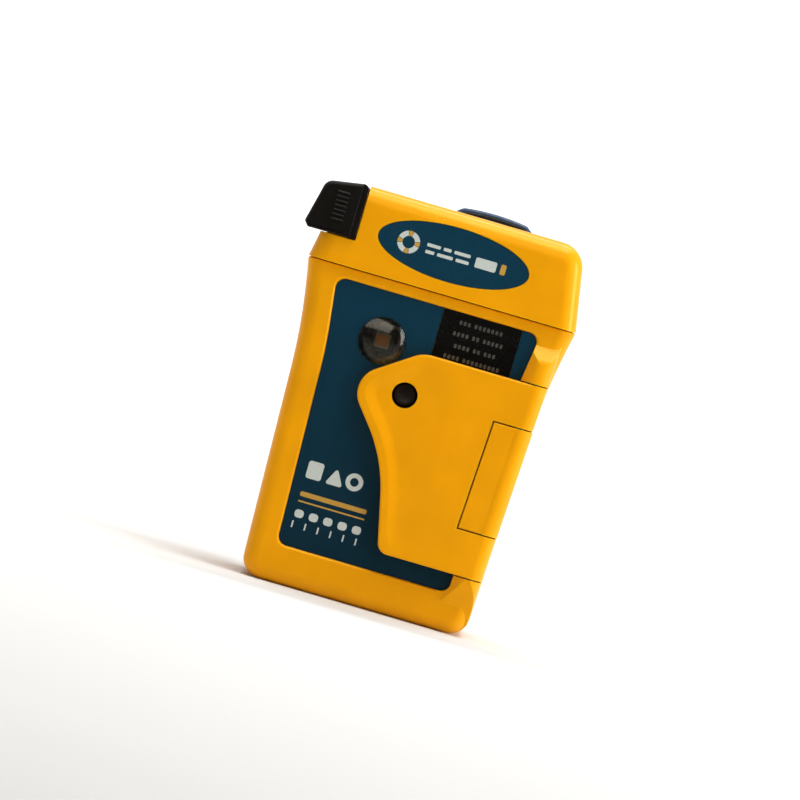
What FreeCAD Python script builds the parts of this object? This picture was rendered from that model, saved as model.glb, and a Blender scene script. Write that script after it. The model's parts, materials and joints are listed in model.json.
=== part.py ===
"""A pocket emergency position beacon, built as its separate pieces.

Millimetres. X runs across the front, +Y goes from the front to the back, +Z points to the antenna end.
The origin is the middle of the flat bottom.
"""

import FreeCAD, Part
import math
import os

V = FreeCAD.Vector
X, Y, Z = V(1, 0, 0), V(0, 1, 0), V(0, 0, 1)

# ---- driving dimensions -------------------------------------------------------------------------

# depths along Y, from the front to the back
FLAP_FRONT = -15.4
TAB_FRONT = -15.0
CAP_FRONT = -14.0
BODY_FRONT = -13.2
LABEL_FLOOR = -12.25
FRONT_INSIDE = -11.1
PARTING = 3.4
WELL_FLOOR = 13.4
REAR_INSIDE = 15.1
REAR = 16.6
PARTING_GAP = 0.3

# heights along Z
SEAM = 59.8
SEAM_GAP = 0.15
SEAM_ROUND = 0.25
CAP_TOP = 75.3
DECK = 58.0

# half widths along X
BOTTOM_HALF = 21.6
WAIST_HALF = 23.41
WAIST_Z = 48.4
SEAM_HALF = 25.7
CAP_TOP_HALF = 22.9

WALL = 1.8
EDGE_ROUND = 2.8
CAP_ROUND = 3.4
REAR_ROUND = 3.4

# label panel: half widths at its bottom, waist and top
LABEL_THICK = 0.35
LABEL_BOTTOM, LABEL_WAIST, LABEL_TOP = 7.35, 44.5, 57.6
LABEL_BOTTOM_HALF, LABEL_WAIST_HALF, LABEL_TOP_HALF = 16.35, 17.75, 19.45
OVAL_HALF_WIDE, OVAL_HALF_TALL, OVAL_Z = 14.35, 5.05, 67.35

# flap hinge: an axis that leans with the right side
HINGE_X, HINGE_Z, HINGE_SLOPE = 20.3, 30.0, 0.045
BARREL = 2.4
HINGE_Y = FLAP_FRONT + BARREL
WELL_CLEARANCE = 0.28
FLAP_LOW, FLAP_HIGH = 11.0, 48.5
FLAP_SKIN = 1.2
FLAP_UNDER = -12.8
BLOCK_LOW, BLOCK_HIGH = 19.5, 40.0
BLOCK_GAP = 0.25
BLOCK_WIDTH_LEFT = 5.0
BLOCK_PROUD = 0.1
PIN_R = 0.75
RUNNING = 0.05
SPRING_ROOM, SPRING_LONG, SPRING_WIRE = 1.75, 6.0, 0.2

# the fixed barrel ends above and below the flap: where each one stops being full, and where it runs out
UPPER_END, UPPER_FOOT, UPPER_BLEND = 53.0, 55.6, 1.6
LOWER_END, LOWER_FOOT, LOWER_BLEND = 10.0, 5.6, 4.0

# the flap's shallow dish: its slope starts and ends this far in from the edge, and it runs out to the right
DISH_DEEP = 0.45
DISH_NEAR, DISH_FAR = 1.1, 3.8
DISH_FULL_X, DISH_END_X = -3.0, 9.0

# strobe, keys and window
LENS_X, LENS_Z, LENS_R = -8.2, 48.5, 4.3
TEST_X, TEST_Z, TEST_R = -1.4, 40.1, 2.2
ON_X, ON_Z, ON_WIDE, ON_TALL = 7.0, 28.5, 9.0, 12.0
KEY_CLEARANCE = 0.1
WINDOW_LEFT, WINDOW_RIGHT, WINDOW_LOW = 1.2, 16.1, 44.6

# antenna tape, its spool and the winder wheel
WINDER_X, WINDER_Z = 5.6, 61.6
WINDER_APOTHEM, WINDER_SIDES = 15.3, 8
WINDER_FRONT, WINDER_BACK = 13.7, 17.0
WINDER_WELL_R = 17.2
SIDE_BULGE_R = 43.0
TAPE_THICK, TAPE_WIDE, TAPE_LENGTH = 0.3, 5.8, 290.0
TAPE_X, TAPE_Y = -20.2, 8.5
TAPE_BEND = 9.3
TAPE_END = 74.85
HUB_R = 3.4
COIL_R = math.sqrt(HUB_R**2 + TAPE_LENGTH * TAPE_THICK / math.pi)
COIL_FOOT = WINDER_Z - COIL_R - TAPE_THICK / 2
FLANGE_R = 7.2
AXLE_R = 1.5

# pull tab and the post that it sits over
TAB_RIGHT, TAB_LOW, TAB_TOP = -18.3, 65.0, 75.5
TAB_BACK = 14.6
TAB_STEP_WIDE, TAB_STEP_DEEP = 1.1, 0.5
NOTCH_RIGHT, NOTCH_LOW = -18.1, 64.8
POST_LEFT, POST_TOP = -23.6, 73.4
POST_FRONT, POST_BACK = -12.0, 12.4

# electronics
BOARD_FRONT, BOARD_BACK = -5.4, -3.8
CELL_R, CELL_LONG, CELL_X = 8.4, 34.0, 8.65
CELL_LOW, CELL_Y = 8.8, 6.55
BOARD_SCREWS = [(-16.0, 9.0), (-17.6, 54.0), (12.0, 8.4)]

# screws and the lanyard's bar
CASE_SCREWS = [(-17.2, 4.7), (17.2, 4.7), (-18.3, 46.2), (18.3, 46.2)]
CAP_SCREWS = [(-7.4, 68.8), (18.0, 68.8)]
CASE_SEAT = REAR - 1.9
CAP_SEAT = WELL_FLOOR - 1.5
SHANK_R, HEAD_R, HEAD_TALL = 1.1, 1.95, 1.4
POST_R = 2.6
SOCKET_FRONT = -3.0
LANYARD_X, LANYARD_Z = 4.0, 4.2


# ---- shape helpers ------------------------------------------------------------------------------


def box(x0, x1, y0, y1, z0, z1):
    """A box from its lowest to its highest corner."""
    return Part.makeBox(x1 - x0, y1 - y0, z1 - z0, V(x0, y0, z0))


def rod(radius, start, along, length):
    """A round rod from a point, along a direction."""
    return Part.makeCylinder(radius, length, start, along)


def disc(radius, x, z, y0, y1):
    """A round disc facing front and back."""
    return rod(radius, V(x, y0, z), Y, y1 - y0)


def ring(outer, inner, x, z, y0, y1):
    """A flat ring facing front and back."""
    return disc(outer, x, z, y0, y1).cut(disc(inner, x, z, y0, y1))


def corner(before, at, after, radius):
    """Where a rounded corner starts, passes and ends."""
    a = (before - at).normalize()
    b = (after - at).normalize()
    half = a.getAngle(b) / 2
    reach = radius / math.tan(half)
    middle = (a + b).normalize() * (radius / math.sin(half) - radius)
    return at + a * reach, at + middle, at + b * reach


def outline_of(spots, radii):
    """A flat face from its corner points, with true arcs at the corners that have a radius."""
    count = len(spots)
    stops = []
    for i, radius in enumerate(radii):
        if radius:
            stops.append(corner(spots[i - 1], spots[i], spots[(i + 1) % count], radius))
        else:
            stops.append((spots[i], None, spots[i]))
    edges = []
    for i, (start, middle, end) in enumerate(stops):
        if middle:
            edges.append(Part.Arc(start, middle, end).toShape())
        follow = stops[(i + 1) % count][0]
        if end.distanceToPoint(follow) > 1e-6:
            edges.append(Part.makeLine(end, follow))
    return Part.Face(Part.Wire(edges))


def rounded(points):
    """A flat XZ face at Y = 0 from (x, z, corner radius) points."""
    return outline_of([V(x, 0, z) for x, z, _ in points], [radius for _, _, radius in points])


def mirrored(right_side):
    """The whole outline of a symmetric shape from its right side, listed from the bottom up."""
    return right_side + [(-x, z, r) for x, z, r in reversed(right_side)]


def slab(face, y0, y1):
    """An XZ face made solid between two depths."""
    solid = face.copy()
    solid.translate(V(0, y0, 0))
    return solid.extrude(V(0, y1 - y0, 0))


def shrunk(face, by):
    """An XZ face made smaller all round."""
    return face.makeOffset2D(-by)


def edges_at(shape, y, extra=None):
    """The edges of a shape that lie at one depth, and pass a further test on their middle point."""
    found = []
    for edge in shape.Edges:
        flat = all(abs(v.Point.y - y) < 1e-4 for v in edge.Vertexes)
        middle = edge.valueAt((edge.FirstParameter + edge.LastParameter) / 2)
        if flat and abs(middle.y - y) < 1e-4 and (extra is None or extra(middle)):
            found.append(edge)
    return found


def softened(shape, radius, edges):
    """A shape with some edges rounded."""
    return shape.makeFillet(radius, edges)


def joined(first, *others):
    """Several solids made one."""
    return first.fuse(list(others)).removeSplitter()


def above(z):
    return box(-40, 40, -40, 40, z, 120)


def below(z):
    return box(-40, 40, -40, 40, -20, z)


def along_hinge(z):
    """The point of the hinge axis at one height."""
    return V(HINGE_X + (z - HINGE_Z) * HINGE_SLOPE, HINGE_Y, z)


def hinge_rod(radius, z0, z1):
    """A rod on the hinge axis, its ends square to the body."""
    start, end = along_hinge(z0 - 2), along_hinge(z1 + 2)
    long_rod = rod(radius, start, end - start, start.distanceToPoint(end))
    return long_rod.common(box(-40, 40, -40, 40, z0, z1))


def hinge_strip(left, right, y0, y1, z0, z1):
    """A strip beside the hinge axis, leaning with it. left and right count from the axis."""
    low, high = along_hinge(z0).x, along_hinge(z1).x
    corners = [(low + left, z0, 0), (low + right, z0, 0), (high + right, z1, 0), (high + left, z1, 0)]
    return slab(rounded(corners), y0, y1)


def write(name, shape):
    """Writes one named piece."""
    shape.exportStep("parts/" + name + ".step")


# ---- outlines -----------------------------------------------------------------------------------


def body_outline():
    """The lower body: straight sides that flare below the seam. It runs on past the seam, to be cut there."""
    rise = (SEAM_HALF - WAIST_HALF) / (SEAM - WAIST_Z)
    high = SEAM + 6
    return rounded(mirrored([
        (BOTTOM_HALF, 0, 4.0),
        (WAIST_HALF, WAIST_Z, 112.0),
        (SEAM_HALF + 6 * rise, high, 0),
    ]))


def cap_outline():
    """The cap: sides that lean in to two round top corners."""
    lean = (SEAM_HALF - CAP_TOP_HALF) / (CAP_TOP - SEAM)
    low = SEAM - 6
    return rounded(mirrored([(SEAM_HALF + 6 * lean, low, 0), (CAP_TOP_HALF, CAP_TOP, 4.8)]))


def full_outline():
    """The rear shell's outline, from the bottom to the top of the cap."""
    return rounded(mirrored([
        (BOTTOM_HALF, 0, 4.0),
        (WAIST_HALF, WAIST_Z, 100.0),
        (SEAM_HALF - 0.15, SEAM, 2.0),
        (CAP_TOP_HALF, CAP_TOP, 4.8),
    ]))


def label_outline(inset=0.0):
    """The tapered label panel."""
    return rounded(mirrored([
        (LABEL_BOTTOM_HALF - inset, LABEL_BOTTOM + inset, 1.8),
        (LABEL_WAIST_HALF - inset, LABEL_WAIST, 90.0),
        (LABEL_TOP_HALF - inset, LABEL_TOP - inset, 1.8),
    ]))


def oval_outline(grow=0.0):
    """The oval on the cap."""
    middle = V(0, 0, OVAL_Z)
    wide, tall = OVAL_HALF_WIDE + grow, OVAL_HALF_TALL + grow
    return Part.Face(Part.Wire(Part.Ellipse(middle + X * wide, middle + Z * tall, middle).toShape()))


def tab_notch():
    """The corner that the pull tab takes out of the case, all but the post that it sits over."""
    corner_block = box(-40, NOTCH_RIGHT, -40, 40, NOTCH_LOW, 120)
    post = box(POST_LEFT, NOTCH_RIGHT, POST_FRONT, POST_BACK, NOTCH_LOW, POST_TOP)
    return corner_block.cut(post)


def near_post():
    """The room that the walls of the post need inside the case."""
    wall = 1.2
    zone = box(-40, NOTCH_RIGHT + wall, -40, 40, NOTCH_LOW - wall, 120)
    inside = box(
        POST_LEFT + wall, 40, POST_FRONT + wall, POST_BACK - wall, NOTCH_LOW - 2 * wall, POST_TOP - wall
    )
    return zone.cut(inside)


def spool_pocket(grow):
    """The recess under the seam that the antenna spool and its tape dip into."""
    return box(-22.4 - grow, 13.8 + grow, 4.9 - grow, 12.1 + grow, 52.6 - grow, 70)


# ---- case ---------------------------------------------------------------------------------------


def hinge_end(z_open, z_full, z_foot, blend):
    """A fixed barrel end beside the flap: it leans into the front on its left and slopes down at its end."""
    sunk = BODY_FRONT + 0.01
    behind = BODY_FRONT + EDGE_ROUND
    beyond = z_foot + (z_foot - z_full) * 1.5
    end = along_hinge(beyond)
    spots = [
        (-5.0, behind, 0), (-5.0, sunk, 0), (-3.7, sunk, 1.6), (-0.9, FLAP_FRONT, 1.6),
        (BARREL, FLAP_FRONT, BARREL - 0.001), (BARREL, behind, 0),
    ]
    across = outline_of([V(end.x + x, y, beyond) for x, y, _ in spots], [r for _, _, r in spots])
    ridge = across.extrude(along_hinge(z_open) - end)
    spots = [
        (FLAP_FRONT, z_open, 0), (FLAP_FRONT, z_full, blend), (BODY_FRONT - 0.1, z_foot, blend),
        (behind, beyond, 0), (behind, z_open, 0),
    ]
    side = outline_of([V(-40, y, z) for y, z, _ in spots], [r for _, _, r in spots])
    return ridge.common(side.extrude(X * 80)).common(slab(body_outline(), FLAP_FRONT - 1, 0))


def front_case():
    outside = slab(body_outline(), BODY_FRONT, PARTING - PARTING_GAP / 2)
    outside = softened(outside, EDGE_ROUND, edges_at(outside, BODY_FRONT, lambda p: p.z < SEAM + 5))
    outside = outside.common(below(SEAM - SEAM_GAP / 2))
    lip = [
        e for e in outside.Edges
        if all(abs(v.Point.z - SEAM + SEAM_GAP / 2) < 1e-4 for v in e.Vertexes)
        and max(v.Point.y for v in e.Vertexes) < PARTING - PARTING_GAP / 2 + 1e-4
        and min(v.Point.y for v in e.Vertexes) < PARTING - 1
    ]
    outside = softened(outside, SEAM_ROUND, lip)
    recess = slab(label_outline(-0.05), BODY_FRONT - 3, LABEL_FLOOR)
    outside = outside.cut(recess)
    outside = softened(outside, 0.5, edges_at(outside, BODY_FRONT, lambda p: p.z < LABEL_TOP + 0.2))
    outside = outside.fuse([
        hinge_end(FLAP_HIGH + BLOCK_GAP, UPPER_END, UPPER_FOOT, UPPER_BLEND).cut(recess),
        hinge_end(FLAP_LOW - BLOCK_GAP, LOWER_END, LOWER_FOOT, LOWER_BLEND).cut(recess),
    ])
    inner = shrunk(body_outline(), WALL)
    hollow = slab(inner, FRONT_INSIDE, PARTING + 1).common(below(DECK))
    well_wall = hinge_rod(BARREL + WELL_CLEARANCE + 1.2, FLAP_LOW - 1.6, FLAP_HIGH + 1.6)
    hollow = hollow.cut(well_wall)
    case = outside.cut(hollow)
    well = hinge_rod(BARREL + WELL_CLEARANCE, FLAP_LOW - BLOCK_GAP, FLAP_HIGH + BLOCK_GAP)
    well = well.fuse(
        hinge_strip(-0.5, 4, BODY_FRONT - 3, HINGE_Y, FLAP_LOW - BLOCK_GAP, FLAP_HIGH + BLOCK_GAP)
    )
    case = case.cut(well)
    under_flap = hinge_strip(
        -5.4, 0, BODY_FRONT - 3, LABEL_FLOOR, FLAP_LOW - BLOCK_GAP, FLAP_HIGH + BLOCK_GAP
    )
    case = case.cut(under_flap)
    pin_bore = hinge_rod(PIN_R, FLAP_LOW - 2.2, FLAP_HIGH + 2.2)
    case = case.cut(pin_bore)
    case = case.cut(block_foot(0))
    back = PARTING - PARTING_GAP / 2
    case = case.fuse(screw_posts(CASE_SCREWS, SOCKET_FRONT, back))
    case = case.cut([disc(SHANK_R, x, z, SOCKET_FRONT + 0.6, back + 1) for x, z in CASE_SCREWS])
    holes = [
        disc(LENS_R + KEY_CLEARANCE, LENS_X, LENS_Z, -20, 0),
        disc(TEST_R + KEY_CLEARANCE, TEST_X, TEST_Z, -20, 0),
        slab(on_key_outline(KEY_CLEARANCE), -20, 0),
    ]
    return case.cut(holes).removeSplitter()


def rear_case():
    outside = slab(full_outline(), PARTING + PARTING_GAP / 2, REAR)
    outside = softened(outside, REAR_ROUND, edges_at(outside, REAR))
    outside = outside.cut(tab_notch())
    outside = outside.cut(disc(WINDER_WELL_R, WINDER_X, WINDER_Z, WELL_FLOOR, 30))
    inner = shrunk(full_outline(), WALL)
    whole = slab(inner, 0, REAR_INSIDE)
    well_wall = disc(WINDER_WELL_R + 1.4, WINDER_X, WINDER_Z, WELL_FLOOR - 1.3, 30)
    whole = whole.cut(well_wall)
    low = whole.common(below(DECK)).cut(spool_pocket(1.4))
    high = whole.common(above(SEAM)).cut(near_post())
    case = outside.cut(low).cut(high).cut(spool_pocket(0))
    case = case.cut(disc(AXLE_R + 0.9, WINDER_X, WINDER_Z, 0, 20))
    case = case.cut(tape_slot())
    case = case.fuse(screw_posts(CASE_SCREWS, PARTING + PARTING_GAP / 2, REAR_INSIDE + 0.2))
    case = case.fuse(screw_posts(CAP_SCREWS, PARTING + PARTING_GAP / 2, WELL_FLOOR - 0.5))
    for places, seat in ((CASE_SCREWS, CASE_SEAT), (CAP_SCREWS, CAP_SEAT)):
        for x, z in places:
            case = case.cut(disc(SHANK_R + 0.1, x, z, 0, 30)).cut(disc(HEAD_R + 0.15, x, z, seat, 30))
    case = case.cut(lanyard_pocket())
    return case.cut(slab(rear_label_outline(0.05), REAR - 0.35, REAR + 1)).removeSplitter()


def screw_posts(places, y0, y1):
    """Round posts for screws, each with a web out to the side wall beside it."""
    outside = slab(shrunk(full_outline(), 0.5), y0, y1)
    made = []
    for x, z in places:
        side = 1 if x > 0 else -1
        post = disc(POST_R, x, z, y0, y1)
        if abs(x) > 15 and z < SEAM:
            low, high = sorted((x, x + side * 6))
            post = post.fuse(box(low, high, y0, y1, z - 0.8, z + 0.8)).common(outside)
        made.append(post)
    return made


def top_cap():
    outside = slab(cap_outline(), CAP_FRONT, PARTING - PARTING_GAP / 2)
    outside = softened(outside, CAP_ROUND, edges_at(outside, CAP_FRONT, lambda p: p.z > SEAM - 5))
    outside = outside.common(above(SEAM + SEAM_GAP / 2))
    outside = outside.cut(tab_notch())
    inner = shrunk(cap_outline(), WALL)
    hollow = slab(inner, CAP_FRONT + WALL, PARTING + 1).cut(near_post())
    cap = outside.cut(hollow)
    back = PARTING - PARTING_GAP / 2
    cap = cap.fuse([disc(POST_R, x, z, CAP_FRONT + 1, back) for x, z in CAP_SCREWS])
    cap = cap.cut([disc(SHANK_R, x, z, SOCKET_FRONT, back + 1) for x, z in CAP_SCREWS])
    oval = slab(oval_outline(0.1), CAP_FRONT - 1, CAP_FRONT + 0.4)
    return cap.cut(oval).removeSplitter()


def seal_loop(outline, cut, y0, y1):
    """A flat seal that follows the rim of a shell."""
    strip = slab(shrunk(outline, 0.6), y0, y1).cut(slab(shrunk(outline, WALL - 0.3), y0 - 1, y1 + 1))
    return strip.common(cut)


def case_gasket():
    """The seal between the front and rear shells, with a bar across under the deck."""
    y0, y1 = PARTING - PARTING_GAP / 2, PARTING + PARTING_GAP / 2
    loop = seal_loop(body_outline(), below(DECK + 0.2), y0, y1)
    inner = shrunk(body_outline(), 0.6)
    bar = slab(inner, y0, y1).common(box(-40, 40, -40, 40, DECK + 0.2, DECK + 1.2))
    return joined(loop, bar)


def cap_seal():
    """The seal between the cap and the body's top."""
    z0, z1 = SEAM - SEAM_GAP / 2, SEAM + SEAM_GAP / 2
    half = SEAM_HALF - 1.0
    outer = box(-half, half, BODY_FRONT + 0.9, PARTING - PARTING_GAP / 2 - 0.1, z0, z1)
    upright = [e for e in outer.Edges if abs(e.tangentAt(0).z) > 0.9 and e.Vertexes[0].Point.y < 0]
    outer = softened(outer, 2.0, upright)
    hole = box(-half + 0.8, half - 0.8, BODY_FRONT + 1.7, PARTING - 1.2, z0 - 1, z1 + 1)
    return outer.cut(hole)


# ---- labels -------------------------------------------------------------------------------------


def window_outline(grow=0.0):
    top = LABEL_TOP - 0.05
    return rounded([
        (WINDOW_LEFT - grow, WINDOW_LOW - grow, 0.5),
        (WINDOW_RIGHT + grow, WINDOW_LOW - grow, 0.5),
        (WINDOW_RIGHT + grow, top, 0),
        (WINDOW_LEFT - grow, top, 0),
    ])


def front_label():
    sheet = slab(label_outline(), LABEL_FLOOR - LABEL_THICK, LABEL_FLOOR)
    cuts = [
        disc(LENS_R + KEY_CLEARANCE, LENS_X, LENS_Z, -20, 0),
        disc(TEST_R + 0.4, TEST_X, TEST_Z, -20, 0),
        slab(on_key_outline(0.5), -20, 0),
        slab(window_outline(0.04), -20, 0),
        hinge_strip(-5.6, 8, -20, 0, BLOCK_LOW - 0.2, BLOCK_HIGH + 0.2),
        hinge_rod(BARREL + WELL_CLEARANCE, FLAP_LOW - 1, FLAP_HIGH + 1),
    ]
    return sheet.cut(cuts)


def oval_label():
    return slab(oval_outline(), CAP_FRONT + 0.1, CAP_FRONT + 0.4)


def rear_label_outline(grow=0.0):
    return rounded(mirrored([(14.0 + grow, 12.0 - grow, 1.8), (15.2 + grow, 40.5 + grow, 1.8)]))


def rear_label():
    return slab(rear_label_outline(), REAR - 0.35, REAR - 0.05)


def gps_window():
    return slab(window_outline(), LABEL_FLOOR - LABEL_THICK - 0.05, LABEL_FLOOR)


# ---- flap and hinge -----------------------------------------------------------------------------


def flap_outline():
    """The flap from the front: a slanted corner, a long concave side and a square hinge side."""
    return rounded([
        (along_hinge(FLAP_LOW).x, FLAP_LOW, 0),
        (along_hinge(FLAP_HIGH).x, FLAP_HIGH, 0),
        (-0.3, FLAP_HIGH, 6.0),
        (-12.23, 40.24, 4.8),
        (-2.14, 27.78, 29.0),
        (1.86, FLAP_LOW, 2.2),
    ])


def block_room(gap):
    """The slot in the flap for the fixed hinge block."""
    return hinge_strip(
        -BLOCK_WIDTH_LEFT - gap, 8, -20, 0, BLOCK_LOW - gap, BLOCK_HIGH + gap
    )


def eased(value, start, end):
    """0 before start, 1 after end, and a smooth rise in between."""
    t = min(1.0, max(0.0, (value - start) / (end - start)))
    return t * t * (3 - 2 * t)


def flap_dish():
    """What the dish takes off the flap's face. Outside the dish it stays just clear of the face."""
    outline = flap_outline()
    rim = outline.OuterWire
    columns, rows = 40, 56
    left, right, low, high = -14.0, 11.0, FLAP_LOW - 1.0, FLAP_HIGH + 1.0
    clear = 0.02
    grid = []
    for i in range(columns + 1):
        x = left + (right - left) * i / columns
        run_out = 1 - eased(x, DISH_FULL_X, DISH_END_X)
        line = []
        for j in range(rows + 1):
            z = low + (high - low) * j / rows
            spot = V(x, 0, z)
            inward = rim.distToShape(Part.Vertex(spot))[0] if outline.isInside(spot, 1e-6, True) else 0.0
            deep = eased(inward, DISH_NEAR, DISH_FAR) * run_out
            line.append(V(x, FLAP_FRONT - clear + (DISH_DEEP + clear) * deep, z))
        grid.append(line)
    surface = Part.BSplineSurface()
    surface.interpolate(grid)
    return surface.toShape().extrude(V(0, -2, 0))


def flap():
    outline = flap_outline()
    whole = slab(outline, FLAP_FRONT, FLAP_UNDER)
    whole = softened(whole, 0.4, edges_at(whole, FLAP_FRONT, lambda p: p.x < 20))
    inside = slab(shrunk(outline, 1.2), FLAP_FRONT + FLAP_SKIN, 0)
    inside = inside.cut(hinge_strip(-BLOCK_WIDTH_LEFT - 1.4, 8, -20, 20, 0, 60))
    shell = whole.cut(inside)
    shell = shell.fuse(hinge_rod(BARREL, FLAP_LOW, FLAP_HIGH))
    shell = shell.cut(hinge_strip(-20, -BARREL, FLAP_UNDER, 0, 0, 60))
    shell = shell.cut(block_room(BLOCK_GAP))
    swing = math.hypot(BLOCK_WIDTH_LEFT, BARREL) + 0.08
    shell = shell.cut(hinge_rod(swing, BLOCK_LOW - BLOCK_GAP, BLOCK_HIGH + BLOCK_GAP))
    shell = shell.cut(hinge_rod(PIN_R + RUNNING, FLAP_LOW - 1, FLAP_HIGH + 1))
    shell = shell.cut(flap_dish())
    shell = shell.cut(disc(2.4, TEST_X, TEST_Z, -20, 0))
    return shell.removeSplitter()


def block_foot(gap):
    """The foot that stands in the wall behind the hinge block."""
    return hinge_strip(
        -1.4 - gap, 1.0 + gap, HINGE_Y, HINGE_Y + BARREL + 0.9, BLOCK_LOW + 2, BLOCK_HIGH - 2
    )


def hinge_block():
    """The fixed middle of the hinge, flush with the flap, with room for the spring round the pin."""
    barrel = hinge_rod(BARREL + BLOCK_PROUD, BLOCK_LOW, BLOCK_HIGH)
    plate = hinge_strip(-BLOCK_WIDTH_LEFT, 0, FLAP_FRONT, LABEL_FLOOR, BLOCK_LOW, BLOCK_HIGH)
    block = joined(barrel, plate, block_foot(0))
    rim = edges_at(block, FLAP_FRONT, lambda p: p.x < along_hinge(p.z).x - 0.5)
    block = softened(block, 0.25, rim)
    block = block.cut(hinge_rod(PIN_R, BLOCK_LOW - 1, BLOCK_HIGH + 1))
    return block.cut(hinge_rod(SPRING_ROOM, BLOCK_HIGH - SPRING_LONG, BLOCK_HIGH + 1))


def hinge_pin():
    return hinge_rod(PIN_R - 0.001, FLAP_LOW - 2.1, FLAP_HIGH + 2.1)


def flap_spring():
    """A torsion spring round the pin, at the top of the hinge block."""
    turns = 9
    pitch = (SPRING_LONG - 1.2) / turns
    radius = 1.3
    helix = Part.makeHelix(pitch, pitch * turns, radius)
    start = V(radius, 0, 0)
    section = Part.Wire(Part.makeCircle(SPRING_WIRE, start, Y))
    coil = Part.Wire(helix.Edges).makePipeShell([section], True, True)
    lean = math.degrees(math.atan(HINGE_SLOPE))
    coil.rotate(V(0, 0, 0), Y, lean)
    coil.translate(along_hinge(BLOCK_HIGH - SPRING_LONG + 0.6))
    return coil


# ---- keys and strobe ----------------------------------------------------------------------------


def on_key_outline(grow=0.0):
    wide, tall = ON_WIDE / 2 + grow, ON_TALL / 2 + grow
    return rounded([
        (ON_X - wide, ON_Z - tall, 2.5),
        (ON_X + wide, ON_Z - tall, 2.5),
        (ON_X + wide, ON_Z + tall, 2.5),
        (ON_X - wide, ON_Z + tall, 2.5),
    ])


def on_key():
    """The big key under the flap: a pad with a plunger, and a flange that keeps it in the case."""
    pad = slab(on_key_outline(), -13.75, -10.2)
    pad = softened(pad, 0.5, edges_at(pad, -13.75))
    flange = slab(on_key_outline(0.8), -10.2, -9.4)
    plunger = disc(1.5, ON_X, ON_Z, -9.4, -7.75)
    return joined(pad, flange, plunger)


def test_key():
    """The small key behind the hole in the flap."""
    stem = disc(TEST_R, TEST_X, TEST_Z, -13.4, -10.2)
    stem = softened(stem, 0.5, edges_at(stem, -13.4))
    dimple = Part.makeSphere(4.0, V(TEST_X, -13.4 - 3.75, TEST_Z))
    flange = disc(TEST_R + 0.8, TEST_X, TEST_Z, -10.2, -9.4)
    plunger = disc(1.2, TEST_X, TEST_Z, -9.4, -7.4)
    return joined(stem.cut(dimple), flange, plunger)


def key_seal():
    """The rubber sheet behind the front wall, pierced for the two keys."""
    outline = rounded([(-5.6, 20.6, 1.5), (13.0, 20.6, 1.5), (13.0, 44.0, 1.5), (-5.6, 44.0, 1.5)])
    sheet = slab(outline, -10.9, -10.3)
    holes = [disc(TEST_R + 0.05, TEST_X, TEST_Z, -20, 0), slab(on_key_outline(0.05), -20, 0)]
    return sheet.cut(holes)


def key_switches():
    """The two tact switches on the board."""
    made = []
    for x, z in ((ON_X, ON_Z), (TEST_X, TEST_Z)):
        base = box(x - 2.2, x + 2.2, BOARD_FRONT - 1.1, BOARD_FRONT, z - 2.2, z + 2.2)
        base = base.fuse(disc(1.1, x, z, BOARD_FRONT - 1.4, BOARD_FRONT - 1.1))
        made.append(base.removeSplitter())
    return Part.makeCompound(made)


def turned(points):
    """A solid turned about the strobe's axis, from (radius, y) points."""
    corners = [V(LENS_X + r, y, LENS_Z) for r, y in points]
    face = Part.Face(Part.makePolygon(corners + corners[:1]))
    return face.revolve(V(LENS_X, 0, LENS_Z), Y, 360)


def lens_cap(radius, y_rim, height):
    """A shallow dome: the tip of a sphere cut off at a rim."""
    sphere_r = (radius**2 + height**2) / (2 * height)
    ball = Part.makeSphere(sphere_r, V(LENS_X, y_rim - height + sphere_r, LENS_Z))
    return ball.common(disc(radius, LENS_X, LENS_Z, y_rim - height - 1, y_rim))


def strobe_lens():
    """The clear dome, hollow behind, with a flange inside the case."""
    skin = 0.8
    outside = joined(
        lens_cap(LENS_R, -13.0, 1.2),
        disc(LENS_R, LENS_X, LENS_Z, -13.0, -9.9),
        disc(LENS_R + 1.3, LENS_X, LENS_Z, -10.5, -9.9),
    )
    hollow = lens_cap(LENS_R - skin, -13.0, 0.6).fuse(
        disc(LENS_R - skin, LENS_X, LENS_Z, -13.0, -9)
    )
    return outside.cut(hollow)


def lens_seal():
    return Part.makeTorus(LENS_R + 0.75, 0.3, V(LENS_X, -10.8, LENS_Z), Y)


def strobe_reflector():
    """The cone round the light, open front and back."""
    return turned([(3.3, -10.4), (3.45, -10.4), (3.45, -6.2), (1.9, -6.2), (1.9, -7.6), (2.3, -8.2)])


def strobe_led():
    """The light itself: a square package on its post."""
    post = disc(1.8, LENS_X, LENS_Z, -7.4, BOARD_FRONT)
    package = box(LENS_X - 1.25, LENS_X + 1.25, -8.0, -7.4, LENS_Z - 1.25, LENS_Z + 1.25)
    die = box(LENS_X - 0.9, LENS_X + 0.9, -8.2, -8.0, LENS_Z - 0.9, LENS_Z + 0.9)
    return joined(post, package, die)


# ---- antenna ------------------------------------------------------------------------------------


def tape_slot():
    """The way out for the tape through the top of the post."""
    half = TAPE_WIDE / 2 + 0.4
    return box(TAPE_X - 0.45, TAPE_X + 0.45, TAPE_Y - half, TAPE_Y + half, 70, 90)


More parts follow.
